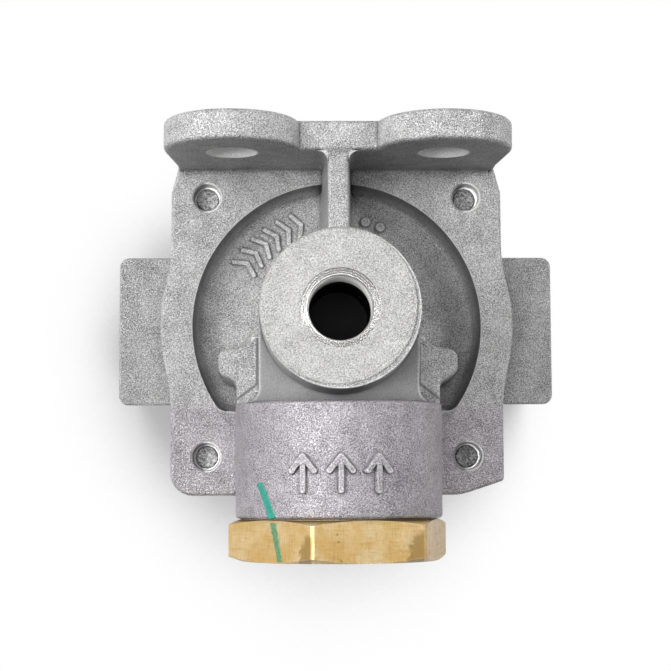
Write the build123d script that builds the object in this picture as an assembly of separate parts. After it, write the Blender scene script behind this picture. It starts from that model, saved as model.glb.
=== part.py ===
# Quick exhaust valve with a double check, for air brakes.
# It lies on its exhaust side: +Z is the balance port's axis, pointing up, and the origin is where
# that axis meets the surface that the valve lies on. The supply port points to -Y, the mounting
# bracket's face to +Y, and the two delivery ports to -X and +X. All sizes are millimetres.

import os
from math import acos, cos, degrees, pi, radians, sin, tan

from build123d import *

os.makedirs("parts", exist_ok=True)

# Flange outline, shared by both castings
flange_half_width = 36.4
flange_low = 37.0
flange_bulge_radius = 38.7
flange_blend_radius = 38.0
flange_corner_radius = 5.0
flange_top_half_width = 34.6
flange_top_taper = 5.0
flange_soft_corner = 1.0
flange_edge = 0.5
trimmed_corner_width = 9.4
trimmed_corner_height = 3.1
trimmed_corner_radius = 12.0

# Used in all the forms
touch = 0.01
overlap = 1.0

# Front casting
joint_height = 40.0
plate_thickness = 10.0
recess_radius = 31.7
recess_depth = 6.8
recess_draft = 11.0
recess_end = 18.7
recess_end_radius = 3.0
recess_floor_fillet = 1.6
boss_rise = 38.0
boss_radius = 16.1
boss_draft = 0.6
boss_edge = 0.7
spotface_radius = 15.5
spotface_offset_x = -0.45
spotface_offset_y = 0.45
spotface_step = 0.3
neck_half_width = 16.5
neck_rise = 27.0
neck_fall = 7.0
neck_flare = 3.6
tower_rise = 14.0
tower_radius = 21.6
tower_shoulder = 18.1
tower_end = 41.7
tower_edge = 0.8
lug_half_width = 25.3
lug_start = 2.8
lug_nose = 6.4
lug_waist = 12.6
lug_radius = 2.2
lug_shoulder_radius = 4.0
lug_ledge = 0.8
lug_shoulder_width = 3.4
lug_shoulder_drop = 0.9
lug_tip_slope = 1.4
lug_heel = 0.6
lug_blend = 2.0
lug_edge = 0.8
blend_sink = 0.1
rib_thickness = 4.4
rib_draft = 2.5
rib_edge = 0.7
rib_foot_blend = 2.4
boss_foot_blend = 2.4
tower_foot_blend = 1.6
casting_draft = 1.0

# Bracket
bracket_underside = 34.6
bracket_thickness = 6.4
bracket_middle_rise = 22.3
ear_rise = 19.6
ear_spacing = 44.4
ear_radius = 14.3
ear_hole_radius = 5.2
ear_edge = 1.0
bracket_foot_blend = 1.6
rib_head_blend = 2.3

# Ports: cylindrical at the outside diameter of the pipe thread
quarter_port_radius = 6.7
quarter_port_depth = 13.0
quarter_port_mouth = 7.95
three_eighths_port_radius = 8.45
three_eighths_port_depth = 12.5
three_eighths_port_mouth = 9.3
balance_drop_radius = 6.35
balance_passage_radius = 5.2
delivery_passage_radius = 7.3

# Double check bore in the tower, measured along Y
check_bore_radius = 15.5
check_bore_floor = 22.6
balance_seat_radius = 6.9
seat_height = 0.8
check_travel = 3.0
seal_gap = 0.05
nut_thread_radius = 16.45
thread_clearance = 0.05
nut_seal_land_radius = 18.4
nut_seal_section = 0.95
supply_passage_radius = 6.2
supply_seat_radius = 7.9

# Cap nut
nut_across_flats = 41.3
nut_hex_height = 8.55
nut_collar_height = 0.15
nut_collar_radius = 20.2
nut_corner_angle = -16.0
nut_chamfer_height = 1.1
nut_corner_break = 0.45
nut_chamfer_inset = 0.2

# Check guide and shuttle
guide_clearance = 0.1
guide_wall = 2.1
guide_flange = 1.6
guide_windows = 6
guide_window_width = 7.0
shuttle_radius = 11.0
running_clearance = 0.05
shuttle_core_length = 6.2
shuttle_seal_radius = 8.7
shuttle_seal_thickness = 1.8
shuttle_pocket_depth = 1.4
shuttle_groove_width = 2.0
shuttle_groove_depth = 1.2

# Slanted passage from the check bore to the inlet
inlet_passage_radius = 5.2
inlet_mouth = 10.0
inlet_angle = 29.0
inlet_passage_length = 24.0
inlet_seat_radius = 22.6
inlet_seat_width = 1.5
inlet_seat_height = 1.0

# Rear casting
cover_flange = 8.0
chamber_radius = 28.5
chamber_floor_fillet = 3.0
hub_radius = 33.2
hub_draft = 4.0
arm_reach = 48.9
arm_half_height = 16.75
arm_drop = 1.25
arm_draft = 3.5
arm_corner_radius = 2.2
arm_edge = 0.6
skirt_radius = 22.0
skirt_inner_radius = 16.5
skirt_height = 6.5
exhaust_floor = 4.0
exhaust_tube_radius = 12.5
exhaust_bore_radius = 9.5
exhaust_lip_radius = 11.2
chamber_rib_count = 6
chamber_rib_width = 3.0
chamber_rib_height = 11.0
spider_arms = 3
spider_arm_width = 2.4
spider_arm_height = 5.5
spider_hub_radius = 4.3
spider_hub_height = 7.5
flap_lip_inset = 0.4
flap_lip_width = 1.3
flap_lip_height = 0.5

# Diaphragm, spring seat and spring
diaphragm_radius = 26.5
diaphragm_thickness = 3.2
diaphragm_lift = 2.5
diaphragm_dish_radius = 20.0
diaphragm_dish_depth = 0.9
diaphragm_nub_radius = 2.6
diaphragm_nub_length = 1.4
diaphragm_edge = 0.6
diaphragm_side_room = 0.3
spring_seat_radius = 8.2
spring_seat_plate = 1.0
spring_seat_cup_radius = 4.6
spring_seat_cup_depth = 3.0
spring_coil_radius = 5.6
spring_wire_radius = 0.55
spring_turns = 6.5

# Seal between the castings
cover_seal_radius = 31.0
cover_seal_section = 0.95
seal_groove_room = 0.1
seal_free_room = 0.02

# Screws from behind
screw_spacing = 57.15
screw_radius = 2.45
screw_body_clearance = 0.05
screw_cover_clearance = 0.3
screw_tip_recess = 3.3
screw_tip_chamfer = 0.15
screw_mouth_radius = 2.85
screw_mouth_chamfer = 0.25
screw_mouth_floor = 0.4
screw_head_radius = 4.4
screw_head_height = 3.4
screw_head_edge = 0.3
screw_socket_across_flats = 3.2
screw_socket_depth = 1.8
washer_radius = 4.5
washer_thickness = 1.2
washer_slit = 0.9
washer_slit_angle = 25.0

# Exhaust flap and its screw
flap_radius = 14.6
flap_thickness = 1.7
flap_edge = 0.4
flap_boss_step = 0.3
flap_screw_radius = 1.7
flap_screw_depth = 6.0
flap_screw_head_radius = 3.4
flap_screw_head_height = 2.0
flap_screw_head_edge = 0.9
flap_screw_slot_width = 0.9
flap_screw_slot_depth = 0.8
flap_screw_end_gap = 0.5
flap_washer_radius = 6.0
flap_washer_thickness = 1.0
flap_washer_edge = 0.2
flap_hole_clearance = 0.05

# Levels along Z
face_height = joint_height + plate_thickness
recess_floor = face_height - recess_depth
boss_top = face_height + boss_rise
tower_height = face_height + tower_rise
ear_height = face_height + ear_rise
bracket_middle = face_height + bracket_middle_rise
bracket_top = bracket_underside + bracket_thickness
inlet_seat_level = joint_height - inlet_seat_height
diaphragm_top = inlet_seat_level - seal_gap
diaphragm_bottom = diaphragm_top - diaphragm_thickness
exhaust_seat_level = diaphragm_bottom - diaphragm_lift - seal_gap
exhaust_floor_top = skirt_height + exhaust_floor
arm_top = joint_height - arm_drop
arm_axis = arm_top - arm_half_height
arm_bottom = arm_axis - arm_half_height
spring_foot = skirt_height + spider_arm_height
spring_head = diaphragm_bottom - spring_seat_plate

# Stations along Y inside the tower
balance_seat = check_bore_floor + seat_height
shuttle_length = shuttle_core_length + 2 * (shuttle_seal_thickness - shuttle_pocket_depth)
supply_seat = balance_seat + shuttle_length + check_travel + 2 * seal_gap
nut_inner_face = supply_seat + seat_height
nut_seal_groove = 2 * nut_seal_section


def rod_y(radius, near, far, height=tower_height):
    """A rod along Y between the stations near and far, both counted towards -Y."""
    middle = Pos(0, -(near + far) / 2, height)
    return middle * Rot(90, 0, 0) * Cylinder(radius, far - near)


def rod_z(radius, low, high, x=0.0, y=0.0):
    return Pos(x, y, (low + high) / 2) * Cylinder(radius, high - low)


def ring_z(outer, inner, low, high):
    return rod_z(outer, low, high) - rod_z(inner, low, high)


def edges_near(shape, test):
    """The edges of a shape whose middle point passes the test."""
    return [edge for edge in shape.edges() if test(edge.center())]


def corners_at(sketch, *points):
    """The corners of a flat sketch that lie at the given points."""
    places = [Vector(*point) if isinstance(point, tuple) else point for point in points]
    return [v for v in sketch.vertices() if min((v.center() - p).length for p in places) < touch]


def cove(radius):
    """Concave corner filler in the first quadrant, for blends cast between a wall and a floor."""
    floor = Line((0, 0), (radius, 0))
    curve = RadiusArc((radius, 0), (0, radius), radius)
    wall = Line((0, radius), (0, 0))
    return make_face([floor, curve, wall])


def screw_places():
    half = screw_spacing / 2
    return [(x, y) for x in (-half, half) for y in (-half, half)]


def at_screws(shape):
    return [Pos(x, y, 0) * shape for x, y in screw_places()]


def save(shape, name):
    """One step file per node, with a plain list of solids inside it."""
    solids = shape if isinstance(shape, list) else [shape]
    solids = [solid for piece in solids for solid in piece.solids()]
    export_step(solids[0] if len(solids) == 1 else Compound(children=solids), f"parts/{name}.step")


def flange_outline():
    """Square plate with round bulges, tapered to the bracket at the top, one low corner trimmed."""
    corners = [
        (-flange_half_width, -flange_low),
        (flange_half_width - trimmed_corner_width, -flange_low),
        (flange_half_width, -flange_low + trimmed_corner_height),
        (flange_half_width, bracket_underside - flange_top_taper),
        (flange_top_half_width, bracket_underside + flange_top_taper / 3),
        (flange_top_half_width, bracket_top),
        (-flange_top_half_width, bracket_top),
        (-flange_top_half_width, bracket_underside + flange_top_taper / 3),
        (-flange_half_width, bracket_underside - flange_top_taper),
    ]
    plate = make_face(Polyline(*corners, close=True))

    plate = fillet(corners_at(plate, corners[0]), flange_corner_radius)
    plate = fillet(corners_at(plate, corners[1]), trimmed_corner_radius)
    plate = fillet(corners_at(plate, corners[2], corners[3], corners[8]), flange_soft_corner)
    outline = plate + Circle(flange_bulge_radius)
    places = [v.center() for v in outline.vertices()]
    joins = [p for p in places if abs(p.length - flange_bulge_radius) < touch]
    side_joins = [p for p in joins if abs(p.Y) < flange_low / 2]
    low_joins = [p for p in joins if p.Y < -flange_low / 2]
    outline = fillet(corners_at(outline, *side_joins), flange_blend_radius)
    return fillet(corners_at(outline, *low_joins), flange_blend_radius / 2)


def lug_outline():
    """Wing between the neck and the tower's shoulder, on the +X side."""
    root = neck_half_width - overlap
    flank = tower_radius - blend_sink
    end = -tower_shoulder - overlap
    points = [
        (root, -lug_start),
        (neck_half_width + lug_ledge, -lug_start),
        (neck_half_width + lug_shoulder_width, -(lug_start + lug_nose) / 2 - lug_shoulder_drop),
        (lug_half_width, -lug_nose),
        (lug_half_width, -lug_waist + lug_tip_slope),
        (flank, -lug_waist - lug_heel),
        (flank, end),
        (root, end),
    ]
    lug = make_face(Polyline(*points, close=True))

    lug = fillet(corners_at(lug, points[2]), lug_shoulder_radius)
    return fillet(corners_at(lug, points[3], points[4], points[5]), lug_radius)


def neck_outline():
    """Block between the boss and the tower, with concave flares at the tower's shoulder."""
    half = neck_half_width
    end = -tower_shoulder
    wide = half + neck_flare
    sides = [
        Line((-half, 0), (half, 0)),
        Line((half, 0), (half, end + neck_flare)),
        RadiusArc((half, end + neck_flare), (wide, end), -neck_flare),
        Line((wide, end), (wide, end - overlap)),
        Line((wide, end - overlap), (-wide, end - overlap)),
        Line((-wide, end - overlap), (-wide, end)),
        RadiusArc((-wide, end), (-half, end + neck_flare), -neck_flare),
        Line((-half, end + neck_flare), (-half, 0)),
    ]
    return make_face(sides)


def tangent_point(outside, centre, radius):
    """Where a line from a point outside touches a circle, on the side reached anticlockwise."""
    away = outside - centre
    turn = degrees(acos(radius / away.length))
    return centre + away.normalized().rotate(Axis.Z, turn) * radius


def make_bracket():
    """Top flange with two round ears, drawn in the XZ plane and thickened along Y."""
    half = ear_spacing / 2
    foot = Vector(flange_top_half_width, face_height)
    meeting = tangent_point(foot, Vector(half, ear_height), ear_radius)
    sides = Polyline(
        (-flange_top_half_width, joint_height),
        (flange_top_half_width, joint_height),
        foot,
        meeting,
        (half, ear_height),
        (half, bracket_middle),
        (-half, bracket_middle),
        (-half, ear_height),
        (-meeting.X, meeting.Y),
        (-foot.X, foot.Y),
        close=True,
    )
    outline = make_face(sides)
    for x in (-half, half):
        outline += Pos(x, ear_height) * Circle(ear_radius)
    flange = extrude(Plane.XZ.offset(-bracket_top) * outline, bracket_thickness)
    faces = (bracket_top, bracket_underside)
    rim = edges_near(
        flange,
        lambda p: p.Z > face_height + touch and min(abs(p.Y - face) for face in faces) < touch,
    )
    flange = fillet(rim, ear_edge)
    for x in (-half, half):
        hole = Pos(x, (bracket_underside + bracket_top) / 2, ear_height) * Rot(90, 0, 0)
        flange -= hole * Cylinder(ear_hole_radius, 2 * bracket_thickness)
    blend_half_width = flange_top_half_width - ear_edge
    corner = Plane.YZ.offset(-blend_half_width) * Pos(bracket_underside, face_height) * Rot(0, 180, 0)
    return flange + extrude(corner * cove(bracket_foot_blend), -2 * blend_half_width)


def make_recess():
    """Crescent recess round the boss, ending level with the tower's shoulder."""
    end_cut = Rectangle(2 * recess_radius, recess_radius, align=(Align.CENTER, Align.MAX))
    outline = Circle(recess_radius) - Pos(0, -recess_end) * end_cut
    outline = fillet(outline.vertices(), recess_end_radius)
    pocket = extrude(Plane.XY.offset(face_height) * outline, -recess_depth, taper=recess_draft)
    floor_edges = edges_near(pocket, lambda p: p.Z < recess_floor + touch)
    return fillet(floor_edges, recess_floor_fillet)


def make_rib():
    """Centre rib from the boss to the bracket, thicker at its foot."""
    start = boss_radius / 2
    length = bracket_underside + overlap - start
    height = bracket_middle - recess_floor
    top = Pos(0, start + length / 2) * Rectangle(rib_thickness, length)
    rib = extrude(Plane.XY.offset(bracket_middle) * top, -(height + overlap), taper=-rib_draft)
    rims = edges_near(rib, lambda p: p.Z > bracket_middle - touch and abs(p.X) > rib_thickness / 3)
    rib = fillet(rims, rib_edge)

    foot = rib_thickness / 2 + height * tan(radians(rib_draft)) - blend_sink
    foot_corner = Plane.XZ.offset(-recess_radius) * Pos(foot, recess_floor)
    blend = extrude(foot_corner * cove(rib_foot_blend), recess_radius - boss_radius)
    head = rib_thickness / 2 - blend_sink / 2
    head_corner = Plane.XY.offset(bracket_middle) * Pos(head, bracket_underside) * Rot(180, 0, 0)
    blend += extrude(head_corner * cove(rib_head_blend), height)
    return rib + blend + mirror(blend, about=Plane.YZ)


def make_tower():
    """Round barrel along Y whose lower half runs down into the plate with straight flanks."""
    barrel = rod_y(tower_radius, tower_shoulder, tower_end)
    ends = (-tower_end, -tower_shoulder)
    rims = edges_near(barrel, lambda p: min(abs(p.Y - end) for end in ends) < touch)
    barrel = fillet(rims, tower_edge)
    length = flange_low - tower_shoulder
    foot = Pos(0, -tower_shoulder - length / 2) * Rectangle(2 * tower_radius, length)
    depth = tower_height - recess_floor + overlap
    flanks = extrude(Plane.XY.offset(tower_height) * foot, -depth, taper=-casting_draft)
    return barrel + flanks


def make_neck():
    """Neck with a top that falls towards the tower, and the lugs beside it."""
    high = face_height + neck_rise
    low = high - neck_fall
    past = -tower_shoulder - 2 * overlap
    floor = recess_floor - overlap
    neck = extrude(Plane.XY.offset(floor) * neck_outline(), high - floor)
    wedge = Polyline(
        (0, high),
        (-tower_shoulder, low),
        (past, low),
        (past, high + overlap),
        (0, high + overlap),
        close=True,
    )
    neck -= extrude(Plane.YZ * make_face(wedge), tower_radius, both=True)

    lug_top = tower_height - lug_edge
    lug = extrude(Plane.XY.offset(lug_top) * lug_outline(), recess_floor - lug_top, taper=-casting_draft)
    rim = edges_near(lug, lambda p: p.Z > lug_top - touch and p.X > neck_half_width)
    lug = fillet(rim, lug_edge)
    inner_corner = Pos(neck_half_width - blend_sink / 2, lug_top - blend_sink / 2)
    blend = Plane.XZ.offset(lug_start + lug_edge) * inner_corner * cove(lug_blend)
    lug += extrude(blend, tower_shoulder - neck_flare - lug_start)
    return neck + lug + mirror(lug, about=Plane.YZ)


def check_bore():
    """Stepped bore of the double check, with a raised balance seat left on its floor."""
    bore = rod_y(check_bore_radius, balance_seat, tower_end)
    around_seat = rod_y(check_bore_radius, check_bore_floor, balance_seat)
    bore += around_seat - rod_y(balance_seat_radius, check_bore_floor, balance_seat)
    bore += rod_y(nut_thread_radius + thread_clearance, nut_inner_face, tower_end)
    bore += rod_y(nut_seal_land_radius, tower_end - nut_seal_groove, tower_end)
    bore += rod_y(balance_passage_radius, -balance_passage_radius, balance_seat)
    return bore


def inlet_passage():
    """Hole drilled at a slant from under the plate up into the check bore."""
    start = Pos(0, -inlet_mouth, joint_height) * Rot(90 - inlet_angle, 0, 0)
    below = 2 * inlet_passage_radius
    middle = Pos(0, 0, (inlet_passage_length - below) / 2)
    hole = start * middle * Cylinder(inlet_passage_radius, inlet_passage_length + below)
    reach = 2 * tower_end
    room = Pos(0, 0, joint_height + plate_thickness) * Box(reach, reach, 2 * plate_thickness)
    return hole & room


def balance_bore():
    """Balance port with its countersunk mouth, and the passage below it."""
    floor = boss_top - quarter_port_depth
    mouth = quarter_port_mouth - quarter_port_radius
    bore = rod_z(quarter_port_radius, floor, boss_top)
    bore += Pos(0, 0, boss_top - mouth / 2) * Cone(quarter_port_radius, quarter_port_mouth, mouth)
    bore += rod_z(balance_drop_radius, tower_height - balance_passage_radius, floor + overlap)
    return bore


def make_body():
    """The front casting with all that was cast and cut in one piece."""
    body = extrude(Plane.XY.offset(joint_height) * flange_outline(), plate_thickness)
    body = chamfer(edges_near(body, lambda p: p.Z > face_height - touch), flange_edge)
    body -= make_recess()
    boss_height = boss_top - recess_floor + overlap
    boss_foot = boss_radius + boss_height * sin(radians(boss_draft))
    boss = Pos(0, 0, boss_top - boss_height / 2) * Cone(boss_foot, boss_radius, boss_height)
    boss = fillet(edges_near(boss, lambda p: p.Z > boss_top - touch), boss_edge)
    spotface = ring_z(boss_foot + overlap, spotface_radius, boss_top - spotface_step, boss_top)
    boss -= Pos(spotface_offset_x, spotface_offset_y, 0) * spotface
    foot = Plane.XZ * Pos(boss_foot - blend_sink, recess_floor) * cove(boss_foot_blend)
    boss += revolve(foot, Axis.Z)
    body = body + make_bracket() + make_rib() + boss + make_neck() + make_tower()
    flank_feet = edges_near(
        body,
        lambda p: abs(p.Z - face_height) < 5 * touch
        and abs(abs(p.X) - tower_radius) < overlap
        and p.Y < -tower_shoulder,
    )
    body = fillet(flank_feet, tower_foot_blend)

    body -= check_bore()
    body -= inlet_passage()
    body -= balance_bore()
    seat_outer = inlet_seat_radius + inlet_seat_width
    body += ring_z(seat_outer, inlet_seat_radius, inlet_seat_level, joint_height)
    mouth_floor = face_height - screw_tip_recess - screw_mouth_floor
    hole = rod_z(screw_radius + screw_body_clearance, joint_height, face_height)
    hole += rod_z(screw_mouth_radius, mouth_floor, face_height)
    mouth = Cone(screw_mouth_radius, screw_mouth_radius + screw_mouth_chamfer, screw_mouth_chamfer)
    hole += Pos(0, 0, face_height - screw_mouth_chamfer / 2) * mouth
    for cut in at_screws(hole):
        body -= cut
    return body


def make_arms():
    """One bar along X for both arms, narrower below so that it leaves its mould."""
    foot = arm_half_height - (arm_top - arm_bottom) * tan(radians(arm_draft))
    section = Polyline(
        (-arm_half_height, arm_top),
        (-foot, arm_bottom),
        (foot, arm_bottom),
        (arm_half_height, arm_top),
        close=True,
    )
    bar = extrude(Plane.YZ * make_face(section), arm_reach, both=True)
    bar = fillet(edges_near(bar, lambda p: abs(p.Z - arm_axis) < touch), arm_corner_radius)
    ends = (arm_bottom, arm_top)
    rims = edges_near(bar, lambda p: min(abs(p.Z - end) for end in ends) < touch)
    return fillet(rims, arm_edge)


def delivery_port(side):
    """Port cut in one arm, side is -1 or 1."""
    mouth = three_eighths_port_mouth - three_eighths_port_radius
    turn = Pos(side * arm_reach, 0, arm_axis) * Rot(0, side * 90, 0)
    port = rod_z(three_eighths_port_radius, -three_eighths_port_depth, 0)
    port += Pos(0, 0, -mouth / 2) * Cone(three_eighths_port_radius, three_eighths_port_mouth, mouth)
    port += rod_z(delivery_passage_radius, chamber_radius - arm_reach - 2 * overlap, 0)
    return turn * port


def make_rear_cover():
    """The rear casting: flange, chamber, two square arms, exhaust tube and skirt."""
    flange_low_face = joint_height - cover_flange
    cover = extrude(Plane.XY.offset(flange_low_face) * flange_outline(), cover_flange)
    hub_low = skirt_height - overlap
    hub_height = flange_low_face - hub_low
    hub_foot = hub_radius - hub_height * sin(radians(hub_draft))
    cover += Pos(0, 0, hub_low + hub_height / 2) * Cone(hub_foot, hub_radius, hub_height)
    cover += make_arms()
    cover += rod_z(skirt_radius, 0, skirt_height + overlap)

    chamber = rod_z(chamber_radius, exhaust_floor_top, joint_height)
    floor_edges = edges_near(chamber, lambda p: p.Z < exhaust_floor_top + touch)
    cover -= fillet(floor_edges, chamber_floor_fillet)
    tube = rod_z(exhaust_tube_radius, exhaust_floor_top - overlap, exhaust_seat_level)
    outer_rim = edges_near(tube, lambda p: p.Z > exhaust_seat_level - touch)
    cover += chamfer(outer_rim, exhaust_tube_radius - exhaust_lip_radius)
    rib_inner = diaphragm_radius + diaphragm_side_room
    rib_outer = chamber_radius + overlap
    rib_place = Pos((rib_inner + rib_outer) / 2, 0, inlet_seat_level - chamber_rib_height / 2)
    rib = rib_place * Box(rib_outer - rib_inner, chamber_rib_width, chamber_rib_height)
    for index in range(chamber_rib_count):
        cover += Rot(0, 0, (index + 0.5) * 360 / chamber_rib_count) * rib

    cover -= rod_z(exhaust_bore_radius, 0, joint_height)
    cover -= rod_z(skirt_inner_radius, 0, skirt_height)
    spider = rod_z(spider_hub_radius, skirt_height, skirt_height + spider_hub_height)
    arm_length = exhaust_bore_radius + overlap
    arm_place = Pos(arm_length / 2, 0, skirt_height + spider_arm_height / 2)
    arm = arm_place * Box(arm_length, spider_arm_width, spider_arm_height)
    for index in range(spider_arms):
        spider += Rot(0, 0, 90 + index * 360 / spider_arms) * arm
    cover += spider
    lip_inner = exhaust_bore_radius + flap_lip_inset
    lip_low = skirt_height - flap_lip_height
    cover += ring_z(lip_inner + flap_lip_width, lip_inner, lip_low, skirt_height)
    cover -= rod_z(flap_screw_radius + thread_clearance, 0, skirt_height + flap_screw_depth)
    for side in (-1, 1):
        cover -= delivery_port(side)
    groove_half = cover_seal_section + seal_groove_room
    groove_outer = cover_seal_radius + groove_half
    groove_inner = cover_seal_radius - groove_half
    groove_floor = joint_height - 2 * cover_seal_section
    cover -= ring_z(groove_outer, groove_inner, groove_floor, joint_height)
    clearance = rod_z(screw_radius + screw_cover_clearance, 0, joint_height)
    for cut in at_screws(clearance):
        cover -= cut
    return cover


def make_cap_nut():
    """Brass hexagon nut with a chamfer at both ends, a threaded shank and the supply seat."""
    low = tower_end + nut_collar_height
    high = low + nut_hex_height
    flat = nut_across_flats / 2
    corner = flat / cos(pi / 6)
    hexagon = RegularPolygon(radius=flat, side_count=6, major_radius=False)
    blank = extrude(hexagon, nut_hex_height)
    upright = edges_near(blank, lambda p: touch < p.Z < nut_hex_height - touch)
    blank = chamfer(upright, nut_corner_break)
    profile = Polyline(
        (0, 0),
        (flat - nut_chamfer_inset, 0),
        (corner, nut_chamfer_height),
        (corner, nut_hex_height - nut_chamfer_height),
        (flat - nut_chamfer_inset, nut_hex_height),
        (0, nut_hex_height),
        close=True,
    )
    blank = blank & revolve(Plane.XZ * make_face(profile), Axis.Z)
    first_corner = max(blank.vertices(), key=lambda v: v.X)
    spin = nut_corner_angle - round(first_corner.Y / corner) * 60
    place = Pos(0, -high, tower_height) * Rot(-90, 0, 0) * Rot(0, 0, -spin)
    nut = place * blank
    nut += rod_y(nut_collar_radius, tower_end, low)
    nut += rod_y(nut_thread_radius, nut_inner_face, tower_end)
    nut += rod_y(supply_seat_radius, supply_seat, nut_inner_face)
    mouth = three_eighths_port_mouth - three_eighths_port_radius
    nut -= rod_y(three_eighths_port_radius, high - three_eighths_port_depth, high)
    cone = Pos(0, -high + mouth / 2, tower_height) * Rot(90, 0, 0)
    nut -= cone * Cone(three_eighths_port_radius, three_eighths_port_mouth, mouth)
    nut -= rod_y(supply_passage_radius, supply_seat, high)
    return nut


def make_check_guide():
    """Slotted cage with a flange at each end, clamped between the bore's floor and the nut."""
    inner = shuttle_radius + running_clearance
    near = check_bore_floor
    far = nut_inner_face
    outer = check_bore_radius - guide_clearance
    guide = rod_y(inner + guide_wall, near, far)
    guide += rod_y(outer, near, near + guide_flange)
    guide += rod_y(outer, far - guide_flange, far)
    guide -= rod_y(inner, near, far)
    window_length = far - near - 2 * guide_flange
    middle = Pos(0, -(near + far) / 2, tower_height)
    for index in range(guide_windows // 2):
        slot = Box(guide_window_width, window_length, 2 * check_bore_radius)
        guide -= middle * Rot(0, index * 360 / guide_windows, 0) * slot
    return guide


def make_shuttle():
    """Double check piston at its rest on the supply side, and its two rubber faces."""
    near = supply_seat - seal_gap - shuttle_length
    proud = shuttle_seal_thickness - shuttle_pocket_depth
    core_near = near + proud
    core_far = core_near + shuttle_core_length
    middle = (core_near + core_far) / 2
    core = rod_y(shuttle_radius, core_near, core_far)
    pocket = shuttle_seal_radius
    core -= rod_y(pocket, core_near, core_near + shuttle_pocket_depth)
    core -= rod_y(pocket, core_far - shuttle_pocket_depth, core_far)
    half = shuttle_groove_width / 2
    groove = rod_y(shuttle_radius + 1, middle - half, middle + half)
    core -= groove - rod_y(shuttle_radius - shuttle_groove_depth, middle - half, middle + half)
    seal = shuttle_seal_radius - running_clearance
    faces = [
        rod_y(seal, near, near + shuttle_seal_thickness),
        rod_y(seal, core_far - shuttle_pocket_depth, core_far + proud),
    ]
    return core, faces


def make_nut_seal():
    middle = (nut_thread_radius + nut_seal_land_radius) / 2
    section = (nut_seal_land_radius - nut_thread_radius) / 2
    place = Pos(0, -tower_end + nut_seal_section, tower_height) * Rot(90, 0, 0)
    return place * Torus(middle, min(section, nut_seal_section) - seal_free_room)


def make_diaphragm():
    """Rubber disc, dished above and below, with a nub that holds the spring seat."""
    disc = rod_z(diaphragm_radius, diaphragm_bottom, diaphragm_top)
    disc = fillet(disc.edges(), diaphragm_edge)
    depth = diaphragm_dish_depth
    dish = Cone(diaphragm_dish_radius - depth, diaphragm_dish_radius, depth)
    disc -= Pos(0, 0, diaphragm_top - depth / 2) * dish
    return disc + rod_z(diaphragm_nub_radius, spring_head - diaphragm_nub_length, diaphragm_bottom + touch)


def make_spring_seat():
    """Pressed cup: a flat ring under the diaphragm and a sleeve that keeps the spring in line."""
    hole = diaphragm_nub_radius + running_clearance
    sleeve_low = spring_head - spring_seat_cup_depth
    sleeve_inner = spring_seat_cup_radius - spring_seat_plate
    seat = ring_z(spring_seat_radius, hole, spring_head, diaphragm_bottom)
    return seat + ring_z(spring_seat_cup_radius, sleeve_inner, sleeve_low, spring_head)


def make_spring():
    """Coil spring with ends ground flat, between the spider and the spring seat."""
    height = spring_head - spring_foot
    pitch = height / spring_turns
    path = Helix(pitch, height, spring_coil_radius)
    section = Plane(path @ 0, z_dir=path % 0) * Circle(spring_wire_radius)
    coil = Pos(0, 0, spring_foot) * sweep(section, path, is_frenet=True)
    return coil & rod_z(2 * spring_coil_radius, spring_foot, spring_head)


def make_cover_seal():
    place = Pos(0, 0, joint_height - cover_seal_section)
    return place * Torus(cover_seal_radius, cover_seal_section - seal_free_room)


def make_screws():
    """Four socket screws with split washers, driven from behind into the front casting."""
    under = joint_height - cover_flange
    seat = under - washer_thickness
    low = seat - screw_head_height
    tip = face_height - screw_tip_recess
    head = chamfer(rod_z(screw_head_radius, low, seat).edges(), screw_head_edge)
    shank = rod_z(screw_radius, seat - overlap, tip)
    shank = chamfer(edges_near(shank, lambda p: p.Z > tip - touch), screw_tip_chamfer)
    hexagon = RegularPolygon(screw_socket_across_flats / 2, 6, major_radius=False)
    screw = head + shank - extrude(Plane.XY.offset(low) * hexagon, screw_socket_depth)

    washer = ring_z(washer_radius, screw_radius + screw_cover_clearance / 2, seat, under)
    slit = Pos(washer_radius, 0, (seat + under) / 2) * Rot(washer_slit_angle, 0, 0)
    washer -= slit * Box(2 * washer_radius, washer_slit, 4 * washer_thickness)
    return at_screws(screw), at_screws(washer)


def make_flap():
    """Rubber flap over the exhaust opening, with the washer and screw that hold it to the spider."""
    top = skirt_height - flap_lip_height
    low = top - flap_thickness
    hole = flap_screw_radius + flap_hole_clearance
    flap = rod_z(flap_radius, low, top)
    flap = fillet(edges_near(flap, lambda p: p.Z < low + touch), flap_edge)
    flap += rod_z(spider_hub_radius - flap_boss_step, top, skirt_height)
    flap -= rod_z(hole, low, skirt_height)

    washer_low = low - flap_washer_thickness
    washer = rod_z(flap_washer_radius, washer_low, low)
    washer = fillet(edges_near(washer, lambda p: p.Z < washer_low + touch), flap_washer_edge)
    washer -= rod_z(hole, washer_low, low)

    head_low = washer_low - flap_screw_head_height
    screw_end = skirt_height + flap_screw_depth - flap_screw_end_gap
    head = rod_z(flap_screw_head_radius, head_low, washer_low)
    head = fillet(edges_near(head, lambda p: p.Z < head_low + touch), flap_screw_head_edge)
    slot = Box(2 * flap_screw_head_radius, flap_screw_slot_width, 2 * flap_screw_slot_depth)
    screw = head - Pos(0, 0, head_low) * slot + rod_z(flap_screw_radius, washer_low, screw_end)
    return flap, washer, screw


body = make_body()
rear_cover = make_rear_cover()
cap_nut = make_cap_nut()
check_shuttle, shuttle_seals = make_shuttle()
cover_screws, lock_washers = make_screws()
exhaust_flap, flap_washer, flap_screw = make_flap()

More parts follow.
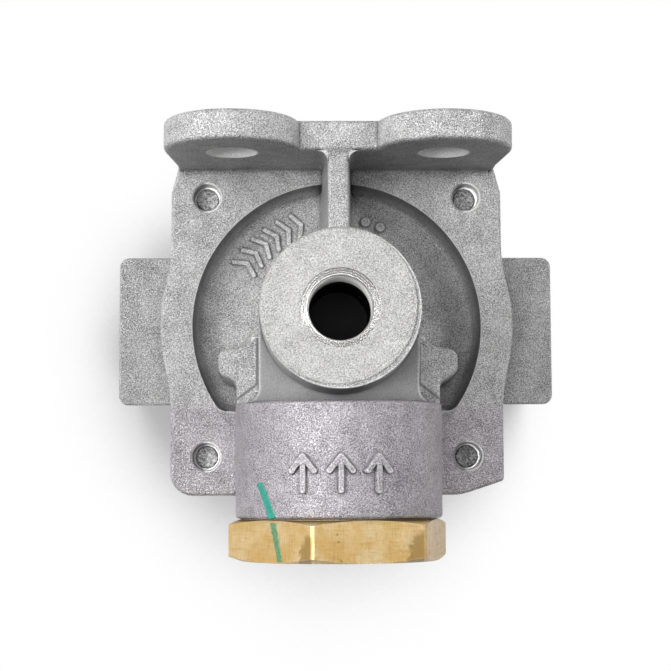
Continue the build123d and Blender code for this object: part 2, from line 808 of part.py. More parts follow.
nodes = {
    "body": body,
    "rear_cover": rear_cover,
    "cap_nut": cap_nut,
    "nut_seal": make_nut_seal(),
    "check_guide": make_check_guide(),
    "check_shuttle": check_shuttle,
    "shuttle_seals": shuttle_seals,
    "diaphragm": make_diaphragm(),
    "spring_seat": make_spring_seat(),
    "diaphragm_spring": make_spring(),
    "cover_seal": make_cover_seal(),
    "cover_screws": cover_screws,
    "lock_washers": lock_washers,
    "exhaust_flap": exhaust_flap,
    "flap_washer": flap_washer,
    "flap_screw": flap_screw,
}

for name, shape in nodes.items():
    save(shape, name)
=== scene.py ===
import bmesh
import bpy
import numpy as np
from mathutils import Matrix, Vector


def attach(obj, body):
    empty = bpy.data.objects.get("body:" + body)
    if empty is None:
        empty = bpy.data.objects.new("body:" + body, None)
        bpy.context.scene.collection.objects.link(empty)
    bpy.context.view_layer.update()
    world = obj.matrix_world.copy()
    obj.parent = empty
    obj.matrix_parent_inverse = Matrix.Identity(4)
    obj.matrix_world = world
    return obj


# A quick exhaust valve as it lies on a white bench, seen from above.
# Shapes are written in millimetres and become metres when their mesh is made. Shader lengths are
# in metres, because object coordinates are, and so are the sizes and places of the lamps.
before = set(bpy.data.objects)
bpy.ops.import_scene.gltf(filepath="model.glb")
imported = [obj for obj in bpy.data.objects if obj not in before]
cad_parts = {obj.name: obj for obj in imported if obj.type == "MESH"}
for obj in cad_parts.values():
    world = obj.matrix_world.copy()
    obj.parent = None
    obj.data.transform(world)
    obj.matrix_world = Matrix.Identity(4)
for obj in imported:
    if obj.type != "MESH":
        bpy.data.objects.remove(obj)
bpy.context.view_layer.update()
mm = 0.001
print("frame loaded", len(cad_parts), "pieces")


# Mesh helpers

def gridMesh(name, points, material, wrapRows=False, wrapColumns=False, body="housing"):
    # points is rows x columns x 3 in mm. Four neighbouring points make one face, and a wrapped
    # direction joins its last line to its first.
    rows, columns = points.shape[:2]
    index = np.arange(rows * columns).reshape(rows, columns)
    if wrapRows:
        index = np.vstack([index, index[:1]])
    if wrapColumns:
        index = np.hstack([index, index[:, :1]])
    quads = np.stack([index[:-1, :-1], index[:-1, 1:], index[1:, 1:], index[1:, :-1]], axis=-1)
    mesh = bpy.data.meshes.new(name)
    mesh.from_pydata((points.reshape(-1, 3) * mm).tolist(), [], quads.reshape(-1, 4).tolist())
    mesh.update()
    weld(mesh)
    mesh.shade_smooth()
    mesh.materials.append(material)
    piece = bpy.data.objects.new(name, mesh)
    bpy.context.scene.collection.objects.link(piece)
    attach(piece, body)
    return piece


def weld(mesh):
    # joins points that lie together, so that a skin has no open side, and turns its faces outwards
    work = bmesh.new()
    work.from_mesh(mesh)
    bmesh.ops.remove_doubles(work, verts=work.verts, dist=0.0005 * mm)
    if work.calc_volume(signed=True) < 0:
        bmesh.ops.reverse_faces(work, faces=work.faces)
    work.to_mesh(mesh)
    work.free()


def closedSkin(name, top, base, material):
    # A thin closed skin: the border of the top grid falls onto the base grid, the rows run over the
    # top and back under it, and welding joins the sides.
    rim = np.zeros(top.shape[:2], bool)
    rim[[0, -1], :] = True
    rim[:, [0, -1]] = True
    top = np.where(rim[..., None], base, top)
    return gridMesh(name, np.concatenate([top, base[-2:0:-1]], axis=0), material, wrapRows=True)


def strokeMask(across, along, strokes, width, soft):
    # 1 within half a width of any of the straight strokes, falling to 0 over the soft distance
    nearest = np.full(np.broadcast(across, along).shape, 1e3)
    for (startX, startY), (endX, endY) in strokes:
        stepX, stepY = endX - startX, endY - startY
        share = ((across - startX) * stepX + (along - startY) * stepY) / (stepX ** 2 + stepY ** 2)
        share = np.clip(share, 0, 1)
        gap = np.hypot(across - startX - share * stepX, along - startY - share * stepY)
        nearest = np.minimum(nearest, gap)
    level = np.clip((width / 2 + soft - nearest) / soft, 0, 1)
    return level * level * (3 - 2 * level)


def between(pair, share):
    return pair[0] + (pair[1] - pair[0]) * share


# Shader helpers

def makeNode(tree, kind, **settings):
    node = tree.nodes.new(kind)
    for name, value in settings.items():
        setattr(node, name, value)
    return node


def plug(tree, source, target):
    # source is a socket or a plain value
    if isinstance(source, bpy.types.NodeSocket):
        tree.links.new(source, target)
    else:
        target.default_value = source


def calc(tree, operation, *values, clamp=False):
    node = makeNode(tree, "ShaderNodeMath", operation=operation, use_clamp=clamp)
    for socket, value in zip(node.inputs, values):
        plug(tree, value, socket)
    return node.outputs[0]


def ramp(tree, value, low, high, outLow=0.0, outHigh=1.0, smooth=True):
    node = makeNode(tree, "ShaderNodeMapRange", clamp=True)
    node.interpolation_type = "SMOOTHSTEP" if smooth else "LINEAR"
    for name, amount in (("Value", value), ("From Min", low), ("From Max", high),
                         ("To Min", outLow), ("To Max", outHigh)):
        plug(tree, amount, node.inputs[name])
    return node.outputs[0]


def rising(tree, value, border):
    # 0 below a soft border and 1 above it
    return ramp(tree, value, *border)


def falling(tree, value, border):
    # 1 below a soft border and 0 above it
    return ramp(tree, value, *border, 1.0, 0.0)


def product(tree, first, *others):
    for other in others:
        first = calc(tree, "MULTIPLY", first, other)
    return first


def total(tree, first, *others, clamp=False):
    for other in others:
        first = calc(tree, "ADD", first, other, clamp=clamp)
    return first


def mixColour(tree, amount, first, second, blend="MIX"):
    node = makeNode(tree, "ShaderNodeMix", data_type="RGBA", blend_type=blend)
    plug(tree, amount, node.inputs[0])
    for socket, value in ((node.inputs[6], first), (node.inputs[7], second)):
        plug(tree, value, socket)
    return node.outputs[2]


def noise(tree, place, scale, detail=2.0, roughness=0.5):
    node = makeNode(tree, "ShaderNodeTexNoise")
    plug(tree, place, node.inputs["Vector"])
    plug(tree, scale, node.inputs["Scale"])
    node.inputs["Detail"].default_value = detail
    node.inputs["Roughness"].default_value = roughness
    return node.outputs[0]


def objectPlace(tree):
    return makeNode(tree, "ShaderNodeTexCoord").outputs["Object"]


def splitPlace(tree):
    node = makeNode(tree, "ShaderNodeSeparateXYZ")
    plug(tree, objectPlace(tree), node.inputs[0])
    return node.outputs[0], node.outputs[1], node.outputs[2]


def newGroup(name, inputs, outputs):
    # inputs: name -> default value, outputs: names, and all of them are plain numbers
    tree = bpy.data.node_groups.new(name, "ShaderNodeTree")
    for label, value in inputs.items():
        socket = tree.interface.new_socket(label, in_out="INPUT", socket_type="NodeSocketFloat")
        socket.default_value = value
    for label in outputs:
        tree.interface.new_socket(label, in_out="OUTPUT", socket_type="NodeSocketFloat")
    return tree, makeNode(tree, "NodeGroupInput"), makeNode(tree, "NodeGroupOutput")


def placeGroup(tree, group, **values):
    node = makeNode(tree, "ShaderNodeGroup", node_tree=group)
    for name, value in values.items():
        plug(tree, value, node.inputs[name])
    return node


def newMaterial(name, roughness=0.5, metallic=0.0):
    material = bpy.data.materials.new(name)
    material.use_nodes = True
    shader = material.node_tree.nodes["Principled BSDF"]
    shader.inputs["Roughness"].default_value = roughness
    shader.inputs["Metallic"].default_value = metallic
    return material, material.node_tree, shader


def bumpTo(tree, shader, height, strength, distance):
    node = makeNode(tree, "ShaderNodeBump")
    node.inputs["Strength"].default_value = strength
    node.inputs["Distance"].default_value = distance
    plug(tree, height, node.inputs["Height"])
    plug(tree, node.outputs[0], shader.inputs["Normal"])


# Shared effects

blast = {
    "turn": (0.61, 0.53, 0.37), "finer": 2.1, "fineShare": 0.65, "finerShare": 0.35,
    "gritSpread": (0.37, 0.63), "cloudSpread": (0.3, 0.7), "gritShare": 0.78, "cloudShare": 0.22,
}


def buildBlastGroup():
    # shot-blasted skin: grit is fine noise plus finer noise, spread to full contrast, and Tone adds
    # a slow cloud to it. The noise is turned, so that no flat face lies along its lattice.
    tree, ins, outs = newGroup("blastedSkin", {"Fine": 2300.0, "Coarse": 260.0}, ["Tone", "Height"])
    turned = makeNode(tree, "ShaderNodeMapping")
    turned.inputs["Rotation"].default_value = blast["turn"]
    plug(tree, objectPlace(tree), turned.inputs["Vector"])
    place = turned.outputs[0]
    fine = noise(tree, place, ins.outputs["Fine"], detail=1.0)
    finer = noise(tree, place, product(tree, ins.outputs["Fine"], blast["finer"]), detail=0.0)
    slow = noise(tree, place, ins.outputs["Coarse"], detail=3.0, roughness=0.6)
    grit = total(tree, product(tree, fine, blast["fineShare"]), product(tree, finer, blast["finerShare"]))
    grit = ramp(tree, grit, *blast["gritSpread"], smooth=False)
    cloud = ramp(tree, slow, *blast["cloudSpread"], smooth=False)
    tone = total(tree, product(tree, grit, blast["gritShare"]), product(tree, cloud, blast["cloudShare"]))
    plug(tree, tone, outs.inputs["Tone"])
    plug(tree, grit, outs.inputs["Height"])
    return tree


def closedIn(tree, reach, samples=8, **sides):
    # the share of the rays that meet a face within reach
    sight = makeNode(tree, "ShaderNodeAmbientOcclusion", samples=samples, **sides)
    plug(tree, reach, sight.inputs["Distance"])
    return calc(tree, "SUBTRACT", 1.0, sight.outputs["AO"])


def buildCornerGroup():
    # how closed-in a point is: 1 in the bottom of creases, 0 on open faces. It lays dirt into creases, and on
    # the cast aluminium painted shade as well.
    tree, ins, outs = newGroup("creaseDirtAndShade", {"Reach": 0.004, "Bite": 1.0}, ["Mask"])
    closed = closedIn(tree, ins.outputs["Reach"])
    plug(tree, calc(tree, "MULTIPLY", closed, ins.outputs["Bite"], clamp=True), outs.inputs["Mask"])
    return tree


def buildEdgeGroup():
    # how near a point is to an outer edge: rays sent inwards meet the piece's other face early there
    tree, ins, outs = newGroup("edgeWear", {"Reach": 0.0008, "Low": 0.1, "High": 0.4}, ["Mask"])
    closed = closedIn(tree, ins.outputs["Reach"], inside=True, only_local=True)
    plug(tree, ramp(tree, closed, ins.outputs["Low"], ins.outputs["High"]), outs.inputs["Mask"])
    return tree


def buildRoundGroup():
    # 1 inside a circle round the middle (A, B) of the plane of two coordinates, 0 outside it
    tree, ins, outs = newGroup(
        "roundMask",
        {"PlaceA": 0.0, "PlaceB": 0.0, "A": 0.0, "B": 0.0, "Radius": 0.01, "Soft": 0.0001},
        ["Mask", "Distance"])
    sideA = calc(tree, "SUBTRACT", ins.outputs["PlaceA"], ins.outputs["A"])
    sideB = calc(tree, "SUBTRACT", ins.outputs["PlaceB"], ins.outputs["B"])
    distance = calc(tree, "SQRT", total(tree, product(tree, sideA, sideA), product(tree, sideB, sideB)))
    outer = calc(tree, "ADD", ins.outputs["Radius"], ins.outputs["Soft"])
    plug(tree, ramp(tree, distance, ins.outputs["Radius"], outer, 1.0, 0.0), outs.inputs["Mask"])
    plug(tree, distance, outs.inputs["Distance"])
    return tree


def buildLineGroup():
    # 1 on the straight line between two places in the plane of two coordinates, 0 away from it. The
    # nearest place on the line is its start plus a share of the step to its end.
    tree, ins, outs = newGroup(
        "lineMask",
        {"PlaceA": 0.0, "PlaceB": 0.0, "StartA": 0.0, "StartB": 0.0, "EndA": 0.01, "EndB": 0.0,
         "Width": 0.0001, "Soft": 0.0002},
        ["Mask"])
    off, step = [], []
    for axis in "AB":
        off.append(calc(tree, "SUBTRACT", ins.outputs["Place" + axis], ins.outputs["Start" + axis]))
        step.append(calc(tree, "SUBTRACT", ins.outputs["End" + axis], ins.outputs["Start" + axis]))

    def dot(first, second):
        return total(tree, product(tree, first[0], second[0]), product(tree, first[1], second[1]))

    share = calc(tree, "DIVIDE", dot(off, step), dot(step, step), clamp=True)
    gap = [calc(tree, "SUBTRACT", far, product(tree, share, whole)) for far, whole in zip(off, step)]
    distance = calc(tree, "SQRT", dot(gap, gap))
    outer = calc(tree, "ADD", ins.outputs["Width"], ins.outputs["Soft"])
    plug(tree, ramp(tree, distance, ins.outputs["Width"], outer, 1.0, 0.0), outs.inputs["Mask"])
    return tree


def circle(tree, across, along, radius, middle=(0.0, 0.0), soft=0.0001):
    # 1 inside a circle in the plane of two coordinates, 0 beyond its soft border
    node = placeGroup(tree, roundMask, PlaceA=across, PlaceB=along, A=middle[0], B=middle[1],
                      Radius=radius, Soft=soft)
    return node.outputs["Mask"]


blastedSkin = buildBlastGroup()
creaseDirtAndShade = buildCornerGroup()
edgeWear = buildEdgeGroup()
roundMask = buildRoundGroup()
lineMask = buildLineGroup()
print("shared effects ready")


# Cast aluminium, blasted, with its cut faces and bores

castTones = {
    "pale": (0.93, 0.925, 0.925, 1),
    "grey": (0.12, 0.119, 0.121, 1),
    "shadeAndGrimeTone": (0.10, 0.097, 0.10, 1),
    # the pale of worn edges, also used for the painted highlight on the screw holes' broken edges
    "wornAndGlint": (0.95, 0.95, 0.94, 1),
    "cut": (0.74, 0.735, 0.72, 1),
    "cutDark": (0.42, 0.415, 0.41, 1),
    "bore": (0.97, 0.965, 0.955, 1),
    "ear": (1.0, 0.995, 0.99, 1),
    "drilled": (0.88, 0.875, 0.87, 1),
    # painted shade for the passage under the balance port
    "paintedDeepShade": (0.010, 0.010, 0.010, 1),
}
# the tower and the plate beside it are a little violet, and the rear casting is darker. The bracket's inner
# face is painted darker as painted shade, and the bracket itself is painted paler as painted light.
castTints = {
    "tower": (0.87, 0.83, 0.88, 1),
    "skirt": (0.95, 0.91, 0.95, 1),
    "inner": (0.70, 0.70, 0.70, 1),
    "rear": (0.88, 0.88, 0.88, 1),
    "bracket": (1.15, 1.15, 1.15, 1),
}
castSkin = {
    "fine": 4100.0, "coarse": 230.0, "relief": 0.0001, "strength": 0.9, "ringPitch": 0.00022,
    "roughness": 0.5, "cutRoughness": 0.26, "metallic": 0.65, "cutMetallic": 0.95,
    "wear": {"Reach": 0.0008, "Low": 0.12, "High": 0.38},
    "wideDirtAndShade": {"Reach": 0.0035, "Bite": 1.3},
    "fineDirtAndShade": {"Reach": 0.0008, "Bite": 1.6},
    "lugShadeLine": {"Width": 0.0001, "Soft": 0.00035},
}
# Places are in metres, and middles are counted in the plane of the hole. A pair of levels says
# where the soft border of a zone starts and ends.
castPlaces = {
    "faceMiddle": (-0.00045, 0.00045), "faceRadius": 0.0156, "faceLevel": (0.0876, 0.0877),
    "portRadius": 0.0079, "portFloor": (0.0752, 0.0754), "portScatter": (0.0837, 0.0867),
    "portDim": (0.0785, 0.0845), "dimSide": (-0.0045, 0.0030),
    "passageRadius": 0.0067, "passageTop": (0.0753, 0.0765),
    "screwMiddle": (0.028575, 0.028575), "screwRadius": 0.0029, "screwFloor": (0.0455, 0.0460),
    "brokenEdge": 0.00042, "screwLeft": (-0.0014, 0.0008),
    "earMiddle": (0.0222, 0.0696), "earRadius": 0.0053, "earFace": (0.0345, 0.0347),
    "armEnd": (0.04885, 0.04889),
    "towerStart": (-0.0186, -0.0170), "plateTop": (0.0502, 0.0514),
    "neckSide": (0.0168, 0.0176), "neckTop": (0.0830, 0.0840), "neckFloor": (0.0542, 0.0562),
    "neckFront": (-0.006, -0.004),
    "bracketStart": (0.0348, 0.0356), "innerFace": (0.0336, 0.0344), "innerFloor": (0.0505, 0.0515),
    "joint": (0.0398, 0.0400),
    "recessOuter": 0.0320, "recessInner": 0.0298, "recessBlend": 0.0008,
    "recessTop": (0.0497, 0.0502), "recessFade": (0.0440, 0.0487),
    "lugCorners": ((0.0171, -0.0040), (0.0172, -0.0136), (0.0214, -0.0168)), "lugFloor": (0.0530, 0.0540),
}
# how much each effect covers, smooths or brightens where its mask is 1
castAmounts = {
    "dimLeft": 0.5, "dimRight": 0.12, "portScatter": 0.8, "earScatter": 0.5,
    "neckTone": 0.45, "neckCover": 0.7, "turnedCover": 0.45, "armBright": 0.5, "earSpeckle": 0.22,
    "wideDirtAndShade": 0.45, "fineDirtAndShade": 0.6, "recessShade": 0.65, "lugShadeLine": 0.6,
    "screwShade": 0.7, "edgeGlint": 0.9, "edgeShade": 0.5, "screwShine": 0.7, "towerShine": 0.6,
    "faceCalm": 0.3, "towerCalm": 0.3, "neckCalm": 0.6, "calmest": 0.2,
    "faceRings": 0.10, "wallRings": 0.22, "wornLeast": 0.5,
}
# between which tones of the skin, or parts of the way to the left, an effect comes or goes
castSpreads = {
    "wornAndGlint": (0.2, 0.6), "turned": (0.1, 0.6), "speckle": (0.1, 0.7), "glint": (0.3, 0.7), "shade": (0.5, 1.0),
}


def portMasks(tree, x, y, z):
    # The spot face and the balance port. The passage under the port is painted black as painted shade, and
    # the port's wall is painted darker down to it, most on the left, also as painted shade.
    place, amount = castPlaces, castAmounts
    face = circle(tree, x, y, place["faceRadius"], place["faceMiddle"])
    port = placeGroup(tree, roundMask, PlaceA=x, PlaceB=y, Radius=place["portRadius"])
    passage = circle(tree, x, y, place["passageRadius"])
    portWall = product(tree, port.outputs["Mask"], rising(tree, z, place["portFloor"]))
    side = ramp(tree, x, *place["dimSide"], amount["dimLeft"], amount["dimRight"])
    dim = product(tree, falling(tree, z, place["portDim"]), side)
    dark = calc(tree, "MAXIMUM", dim, falling(tree, z, place["passageTop"]))
    return {
        "fromAxis": port.outputs["Distance"],
        "face": product(tree, face, rising(tree, z, place["faceLevel"])),
        "port": portWall,
        "scatter": product(tree, portWall, falling(tree, z, place["portScatter"])),
        "paintedDeepShade": product(tree, passage, dark),
    }


def holeMasks(tree, x, y, z):
    # the screw holes at the plate's corners with the broken edge round each and their left sides, which carry
    # a painted highlight and painted shade, the bolt holes in the ears and the mouths of the arms
    place = castPlaces
    halfX = calc(tree, "ABSOLUTE", x)
    halfY = calc(tree, "ABSOLUTE", y)
    hole = circle(tree, halfX, halfY, place["screwRadius"], place["screwMiddle"])
    mouth = circle(tree, halfX, halfY, place["screwRadius"] + place["brokenEdge"], place["screwMiddle"])
    overFloor = rising(tree, z, place["screwFloor"])
    offScrew = calc(tree, "SUBTRACT", x, product(tree, calc(tree, "SIGN", x), place["screwMiddle"][0]))
    ear = circle(tree, halfX, z, place["earRadius"], place["earMiddle"])
    return {
        "screw": product(tree, hole, overFloor),
        "edge": product(tree, calc(tree, "SUBTRACT", mouth, hole, clamp=True), overFloor),
        "left": falling(tree, offScrew, place["screwLeft"]),
        "ear": product(tree, ear, rising(tree, y, place["earFace"])),
        "arm": rising(tree, halfX, place["armEnd"]),
    }


def skinMasks(tree, x, y, z):
    # the tinted zones, some of them painted light and shade, the neck that came smooth out of the mould, the
    # steep wall of the recess, where shade is painted, and the line where each lug meets the neck, painted as
    # a line of shade
    place = castPlaces
    halfX = calc(tree, "ABSOLUTE", x)
    lowHalf = falling(tree, y, place["towerStart"])
    tower = product(tree, lowHalf, rising(tree, z, place["plateTop"]))
    neck = product(tree, falling(tree, halfX, place["neckSide"]), falling(tree, z, place["neckTop"]),
                   rising(tree, z, place["neckFloor"]), falling(tree, y, place["neckFront"]))
    # the steep wall of the recess is painted darker as painted shade, most towards its top
    outer = circle(tree, x, y, place["recessOuter"])
    inner = circle(tree, x, y, place["recessInner"], soft=place["recessBlend"])
    wall = calc(tree, "SUBTRACT", outer, inner, clamp=True)
    # a thin dark line painted where each lug meets the neck: painted shade of that crease
    lines = 0.0
    for start, end in zip(place["lugCorners"], place["lugCorners"][1:]):
        line = placeGroup(tree, lineMask, PlaceA=halfX, PlaceB=y, StartA=start[0], StartB=start[1],
                          EndA=end[0], EndB=end[1], **castSkin["lugShadeLine"])
        lines = calc(tree, "MAXIMUM", lines, line.outputs["Mask"])
    return {
        "tower": tower,
        "skirt": calc(tree, "SUBTRACT", lowHalf, tower, clamp=True),
        "neck": calc(tree, "SUBTRACT", neck, lowHalf, clamp=True),
        "bracket": rising(tree, y, place["bracketStart"]),
        # inner marks the bracket's inner face, where the inner tint paints shade
        "inner": product(tree, rising(tree, y, place["innerFace"]), rising(tree, z, place["innerFloor"])),
        "rear": falling(tree, z, place["joint"]),
        "recess": product(tree, wall, falling(tree, z, place["recessTop"]),
                          rising(tree, z, place["recessFade"])),
        "lugShadeLine": product(tree, lines, rising(tree, z, place["lugFloor"])),
    }


def castSkinColour(tree, tone, masks, wornEdges):
    # the bare blasted skin, and the skin with its tints, worn edges, grime and painted light and shade: the
    # bracket is painted paler as painted light, its inner face, the recess wall and the lug lines are painted
    # darker as painted shade, and the crease darkening is grime and painted shade in one
    tones, amount = castTones, castAmounts
    blasted = mixColour(tree, tone, tones["grey"], tones["pale"])
    smooth = mixColour(tree, amount["neckTone"], tones["grey"], tones["pale"])
    blasted = mixColour(tree, product(tree, masks["neck"], amount["neckCover"]), blasted, smooth)
    colour = blasted
    # the inner tint is painted shade on the bracket's inner face
    for zone in ("tower", "skirt", "inner", "rear"):
        tinted = mixColour(tree, 1.0, colour, castTints[zone], "MULTIPLY")
        colour = mixColour(tree, masks[zone], colour, tinted)
    # painted light: the bracket is lifted paler than the blasted skin
    bracketPaintedLight = mixColour(tree, 1.0, blasted, castTints["bracket"], "MULTIPLY")
    colour = mixColour(tree, masks["bracket"], colour, bracketPaintedLight)
    if wornEdges:
        wear = placeGroup(tree, edgeWear, **castSkin["wear"])
        patchy = ramp(tree, tone, *castSpreads["wornAndGlint"], amount["wornLeast"], 1.0)
        colour = mixColour(tree, product(tree, wear.outputs["Mask"], patchy), colour, tones["wornAndGlint"])
    # wide and fine crease darkening: partly grime, partly painted shade
    wideDirtAndShade = placeGroup(tree, creaseDirtAndShade, **castSkin["wideDirtAndShade"]).outputs["Mask"]
    fineDirtAndShade = placeGroup(tree, creaseDirtAndShade, **castSkin["fineDirtAndShade"]).outputs["Mask"]
    grimeAndShade = total(tree, product(tree, wideDirtAndShade, amount["wideDirtAndShade"]),
                  product(tree, masks["recess"], amount["recessShade"]),
                  product(tree, fineDirtAndShade, amount["fineDirtAndShade"]),
                  product(tree, masks["lugShadeLine"], amount["lugShadeLine"]), clamp=True)
    return blasted, mixColour(tree, grimeAndShade, colour, tones["shadeAndGrimeTone"])


def castCutColour(tree, tone, masks, blasted, colour):
    # The machined places on top of the skin. A drilled wall and the broken edge round it carry a painted
    # highlight on their right side and painted shade on their left.
    tones, amount, spread = castTones, castAmounts, castSpreads
    turned = mixColour(tree, rising(tree, tone, spread["turned"]), tones["cutDark"], tones["cut"])
    turned = mixColour(tree, amount["turnedCover"], blasted, turned)
    speckle = ramp(tree, tone, *spread["speckle"], amount["earSpeckle"], 0.0)
    speckled = mixColour(tree, speckle, tones["ear"], tones["grey"])
    bright = calc(tree, "MAXIMUM", masks["port"], product(tree, masks["arm"], amount["armBright"]))
    glint = ramp(tree, masks["left"], *spread["glint"], amount["edgeGlint"], 0.0)
    shade = ramp(tree, masks["left"], *spread["shade"], 0.0, amount["edgeShade"])
    layers = (
        (masks["face"], turned),
        (bright, tones["bore"]),
        (masks["ear"], speckled),
        (masks["screw"], tones["drilled"]),
        # painted shade on the left of each screw wall
        (product(tree, masks["screw"], masks["left"], amount["screwShade"]), tones["shadeAndGrimeTone"]),
        # painted highlight on the right of the broken edge, in the pale of the worn edges
        (product(tree, masks["edge"], glint), tones["wornAndGlint"]),
        # painted shade on the left of the broken edge
        (product(tree, masks["edge"], shade), tones["shadeAndGrimeTone"]),
        # painted shade: the passage and the lower port wall are painted dark
        (masks["paintedDeepShade"], tones["paintedDeepShade"]),
    )
    for mask, layer in layers:
        colour = mixColour(tree, mask, colour, layer)
    return colour


def castRelief(tree, height, masks, shiny):
    # the blasted relief, calmed where the casting is cut or smooth, and the tool's rings
    amount, pitch = castAmounts, castSkin["ringPitch"]
    calmed = total(tree, calc(tree, "MAXIMUM", shiny, masks["paintedDeepShade"]),
                   product(tree, masks["face"], amount["faceCalm"]),
                   product(tree, masks["tower"], amount["towerCalm"]),
                   product(tree, masks["neck"], amount["neckCalm"]))
    rough = product(tree, height, ramp(tree, calmed, 0, 1, 1.0, amount["calmest"]))
    rings = calc(tree, "DIVIDE", calc(tree, "PINGPONG", masks["fromAxis"], pitch), pitch)
    ringed = calc(tree, "MAXIMUM", product(tree, masks["face"], amount["faceRings"]),
                  product(tree, masks["port"], amount["wallRings"]))
    return total(tree, rough, product(tree, rings, ringed))


def buildCastAluminium(name, wornEdges):
    look, amount = castSkin, castAmounts
    material, tree, shader = newMaterial(name, look["roughness"], look["metallic"])
    skin = placeGroup(tree, blastedSkin, Fine=look["fine"], Coarse=look["coarse"])
    place = splitPlace(tree)
    masks = {**portMasks(tree, *place), **holeMasks(tree, *place), **skinMasks(tree, *place)}
    shiny = calc(tree, "MAXIMUM", masks["port"], product(tree, masks["screw"], amount["screwShine"]))

    blasted, colour = castSkinColour(tree, skin.outputs["Tone"], masks, wornEdges)
    colour = castCutColour(tree, skin.outputs["Tone"], masks, blasted, colour)
    plug(tree, colour, shader.inputs["Base Color"])
    relief = castRelief(tree, skin.outputs["Height"], masks, shiny)
    bumpTo(tree, shader, relief, look["strength"], look["relief"])
    smoothed = calc(tree, "MAXIMUM", shiny, product(tree, masks["tower"], amount["towerShine"]))
    roughness = ramp(tree, smoothed, 0, 1, look["roughness"], look["cutRoughness"])
    plug(tree, roughness, shader.inputs["Roughness"])
    # a cut wall mirrors more, but deep in the balance port and in the ears it scatters the light
    cut = calc(tree, "MAXIMUM", shiny, masks["paintedDeepShade"])
    metal = ramp(tree, cut, 0, 1, look["metallic"], look["cutMetallic"])
    kept = calc(tree, "SUBTRACT", 1.0, product(tree, masks["scatter"], amount["portScatter"]))
    metal = product(tree, metal, kept)
    metal = calc(tree, "SUBTRACT", metal, product(tree, masks["ear"], amount["earScatter"]), clamp=True)
    plug(tree, metal, shader.inputs["Metallic"])
    return material


# Brass of the supply nut and the guide, with its bruises, pits and scratch

brassLook = {
    "gold": (0.84, 0.56, 0.21, 1),
    "pale": (0.99, 0.76, 0.42, 1),
    "line": (0.46, 0.28, 0.09, 1),
    "stain": (0.20, 0.14, 0.07, 1),
    # side: painted sheen, paler and greyer, on the flat that faces +X
    "side": (1.0, 0.86, 0.68, 1),
    "bruise": (0.42, 0.26, 0.08, 1),
    "edge": (0.92, 0.80, 0.55, 1),
    "roughness": 0.42, "smoothest": 0.37, "roughest": 0.54, "shineSpread": (0.3, 0.7), "metallic": 0.6,
    "strength": 0.55, "relief": 0.00007, "gritHeight": 0.25, "markDepth": 0.8,
    "blotchScale": 170.0, "blotchSpread": (0.36, 0.66), "raggedScale": 700.0,
    "sheenSideStart": (0.0172, 0.0174), "sheenSideCover": 0.6, "upperHalf": (0.076, 0.077),
    "bruiseCover": 0.8, "spotCover": 0.6, "dirtCover": 0.8, "wearCover": 0.5,
    "skin": {"Fine": 1500.0, "Coarse": 150.0},
    "dirt": {"Reach": 0.0016, "Bite": 1.5},
    "wear": {"Reach": 0.0006, "Low": 0.2, "High": 0.5},
}
# fine marks of the tool along the nut and across it
toolMarks = (
    {"stretch": (1.0, 0.10, 1.0), "scale": 2300.0, "seen": (0.42, 0.72), "cover": 0.42, "height": 0.5},
    {"stretch": (0.12, 1.0, 0.12), "scale": 2600.0, "seen": (0.45, 0.75), "cover": 0.3, "height": 0.35},
)
# a bruise is a quarter of an ellipse, its middle at the lower right corner of the flat
bruises = (
    {"corner": (-0.0059, -0.0500), "width": 0.0026, "height": 0.0058},
    {"corner": (0.0167, -0.0498), "width": 0.0038, "height": 0.0062},
)
bruiseForm = {"core": 0.75, "soft": 0.3, "wobble": 0.004, "side": 0.0001}
pits = (
    {"middle": (-0.0008, -0.0447), "radius": 0.00012},
    {"middle": (-0.0006, -0.0461), "radius": 0.00014},
    {"middle": (0.0, -0.0499), "radius": 0.00012},
)
pitSoft = 0.00025
# the scratch runs at 45 degrees, so the sum of x and y stays the same along it
scratch = {"sum": -0.0666, "difference": 0.0238, "across": (0.0001, 0.00022), "along": (0.0016, 0.00192)}


def bruiseMask(tree, x, y, ragged):
    wobble = product(tree, calc(tree, "SUBTRACT", ragged, 0.5), bruiseForm["wobble"])
    wobbly = calc(tree, "ADD", x, wobble)
    hurt = 0.0
    for spot in bruises:
        width, (right, low) = spot["width"], spot["corner"]
        stretch = width / spot["height"]
        ellipse = circle(tree, wobbly, product(tree, y, stretch), bruiseForm["core"] * width,
                         (right, low * stretch), bruiseForm["soft"] * width)
        leftSide = falling(tree, x, (right - bruiseForm["side"], right + bruiseForm["side"]))
        hurt = calc(tree, "MAXIMUM", hurt, product(tree, ellipse, leftSide))
    return hurt


def spotMask(tree, x, y):
    # the pits and the scratch
    dotted = 0.0
    for spot in pits:
        dotted = calc(tree, "MAXIMUM", dotted, circle(tree, x, y, spot["radius"], spot["middle"], pitSoft))
    offLine = calc(tree, "SUBTRACT", calc(tree, "ADD", x, y), scratch["sum"])
    offMiddle = calc(tree, "SUBTRACT", calc(tree, "SUBTRACT", x, y), scratch["difference"])
    cut = product(tree, falling(tree, calc(tree, "ABSOLUTE", offLine), scratch["across"]),
                  falling(tree, calc(tree, "ABSOLUTE", offMiddle), scratch["along"]))
    return calc(tree, "MAXIMUM", dotted, cut)


